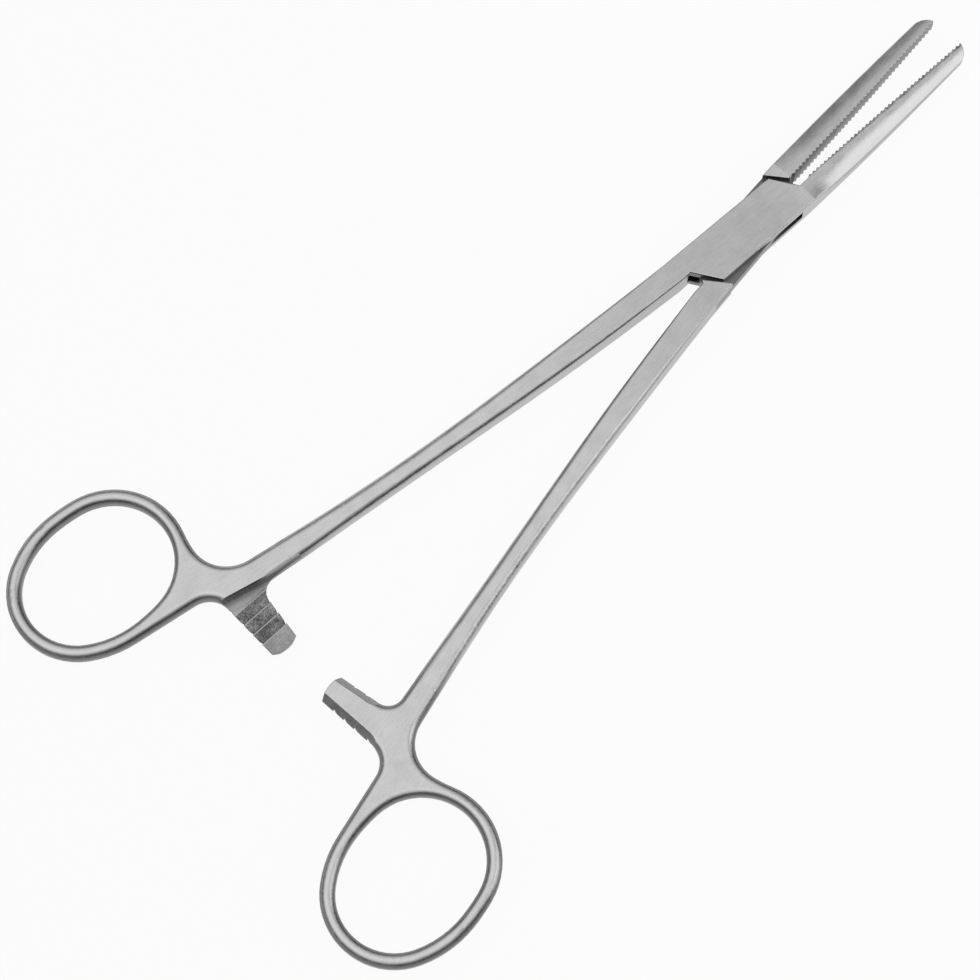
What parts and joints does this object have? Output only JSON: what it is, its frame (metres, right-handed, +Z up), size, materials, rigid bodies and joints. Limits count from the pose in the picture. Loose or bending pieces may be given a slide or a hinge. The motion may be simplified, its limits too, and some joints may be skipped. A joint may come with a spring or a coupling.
{
  "type": "straight clamp",
  "caption": "Straight surgical clamp with a box lock, serrated jaws, two finger rings and a ratchet between the shanks.",
  "frame": {"origin": "on the pivot axis, at the underside on which the clamp lies", "axes": "+X along the line that halves the jaws, towards the tips; +Y towards the box half's finger ring; +Z up, along the pivot, out of the top face"},
  "size_m": [0.1997, 0.1046, 0.0056],
  "materials": {
    "box_half_steel": "satin brushed stainless steel",
    "tang_half_steel": "satin brushed stainless steel",
    "pin_steel": "satin stainless steel, ground flush"
  },
  "bodies": {
    "box_side": {"box_half": "box_half_steel", "pivot_pin": "pin_steel"},
    "tang_side": {"tang_half": "tang_half_steel"}
  },
  "joints": [
    {"name": "pivot", "type": "hinge", "parent": "box_side", "child": "tang_side", "pos_m": [0, 0, 0.0028], "axis": [0, 0, 1], "range_deg": [-6.7, 53.3]}
  ]
}
